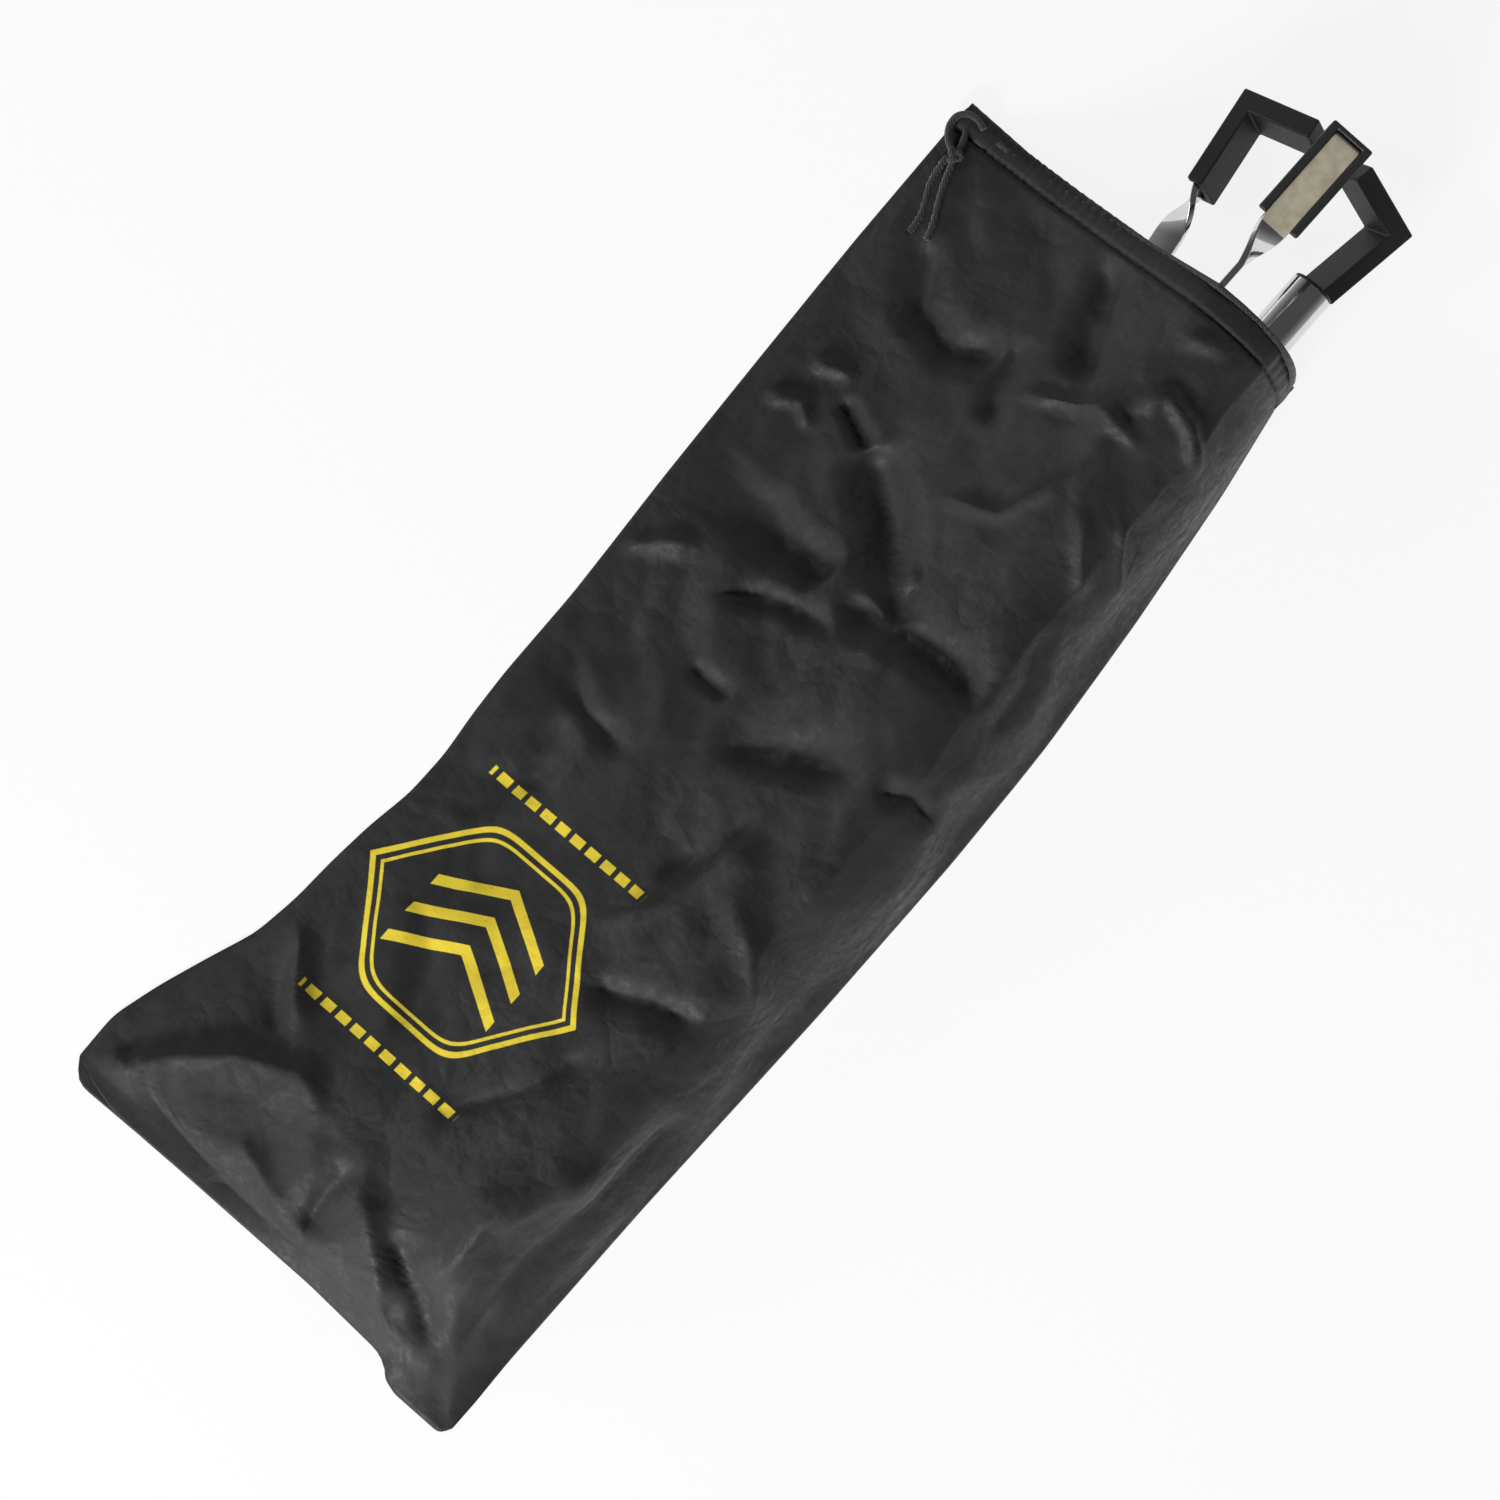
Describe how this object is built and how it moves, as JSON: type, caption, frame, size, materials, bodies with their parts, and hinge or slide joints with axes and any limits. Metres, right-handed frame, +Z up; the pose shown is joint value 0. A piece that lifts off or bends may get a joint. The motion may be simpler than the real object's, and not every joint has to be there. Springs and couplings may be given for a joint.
{
  "type": "drawstring bag with folded drum stand",
  "caption": "Thin nylon drawstring bag lying flat with a folded snare drum stand inside, its rubber-tipped basket arms and tube end standing out of the mouth",
  "frame": {"origin": "on the underside of the bag, in the middle of its length, on the surface it lies on", "axes": "+Y along the bag towards its mouth, +X across it to the right, +Z up"},
  "size_m": [0.2127, 0.6305, 0.0802],
  "materials": {
    "nylon": "fine woven nylon, soft sheen",
    "drawcord": "braided cord",
    "chrome": "polished chrome plate",
    "rubber": "matt moulded rubber",
    "plastic": "moulded nylon"
  },
  "bodies": {
    "bag": {"front_panel": "nylon", "back_panel": "nylon", "front_hem": "nylon", "back_hem": "nylon", "left_seam": "nylon", "right_seam": "nylon", "bottom_seam": "nylon", "drawcord": "drawcord", "cord_loop": "drawcord", "cord_strand": "drawcord", "cord_knot": "drawcord", "cord_tail_a": "drawcord", "cord_tail_b": "drawcord"},
    "basket": {"upper_tube": "chrome", "upper_tube_plug": "rubber", "tilter_lower": "plastic", "tilter_upper": "plastic", "tilter_bolt": "chrome", "basket_stem": "chrome", "thrust_collar": "chrome", "basket_hub": "chrome", "hub_nut": "chrome", "arm_pins": "chrome"},
    "tilter_nut": {"tilter_wing_nut": "chrome"},
    "knob": {"basket_knob": "plastic"},
    "arm_front": {"front_arm": "chrome", "front_grip": "rubber"},
    "arm_left": {"left_arm": "chrome", "left_grip": "rubber"},
    "arm_right": {"right_arm": "chrome", "right_grip": "rubber"},
    "base": {"base_tube": "chrome", "tube_bushing": "plastic", "height_boss": "chrome", "leg_collar": "plastic", "leg_1": "chrome", "leg_2": "chrome", "leg_3": "chrome", "foot_1": "rubber", "foot_2": "rubber", "foot_3": "rubber", "brace_1": "chrome", "brace_2": "chrome", "brace_3": "chrome", "brace_collar": "plastic", "leg_rivets": "chrome", "brace_rivets": "chrome", "base_tube_plug": "rubber"},
    "height_screw": {"height_wing_screw": "chrome"},
    "collar_screw": {"collar_wing_screw": "chrome"}
  },
  "joints": [
    {"name": "base_slide", "type": "slide", "parent": "bag", "child": "base", "axis": [0, 0.9998, 0.0206], "range_m": [0, 0.6]},
    {"name": "basket_slide", "type": "slide", "parent": "base", "child": "basket", "axis": [0, 0.9991, 0.0422], "range_m": [0, 0.6]},
    {"name": "knob_turn", "type": "hinge", "parent": "basket", "child": "knob", "pos_m": [0.028, 0.12702, 0.02404], "axis": [0, 0.9991, 0.0422], "range_deg": [-162, 90]},
    {"name": "front_arm_hinge", "type": "hinge", "parent": "basket", "child": "arm_front", "pos_m": [0.028, 0.14647, 0.03738], "axis": [1, 0, 0], "range_deg": [-0.9, 0.5]},
    {"name": "left_arm_hinge", "type": "hinge", "parent": "basket", "child": "arm_left", "pos_m": [0.01717, 0.14726, 0.01864], "axis": [-0.5, -0.0366, 0.8653], "range_deg": [-0.9, 0.5]},
    {"name": "right_arm_hinge", "type": "hinge", "parent": "basket", "child": "arm_right", "pos_m": [0.03882, 0.14726, 0.01864], "axis": [-0.5, 0.0366, -0.8653], "range_deg": [-0.9, 0.5]},
    {"name": "height_screw_turn", "type": "hinge", "parent": "base", "child": "height_screw", "pos_m": [0.057, 0.22456, 0.04137], "axis": [0, -0.0206, 0.9998], "range_deg": [0, 360]},
    {"name": "collar_screw_turn", "type": "hinge", "parent": "base", "child": "collar_screw", "pos_m": [0.057, 0.04168, 0.03759], "axis": [0, -0.0206, 0.9998], "range_deg": [0, 360]},
    {"name": "tilter_nut_turn", "type": "hinge", "parent": "basket", "child": "tilter_nut", "pos_m": [0.02, 0.09505, 0.02269], "axis": [-1, 0, 0], "range_deg": [0, 360]}
  ],
  "couplings": [
    {"joint": "front_arm_hinge", "follows": "knob_turn", "ratio": 0.005556},
    {"joint": "left_arm_hinge", "follows": "knob_turn", "ratio": 0.005556},
    {"joint": "right_arm_hinge", "follows": "knob_turn", "ratio": 0.005556}
  ]
}
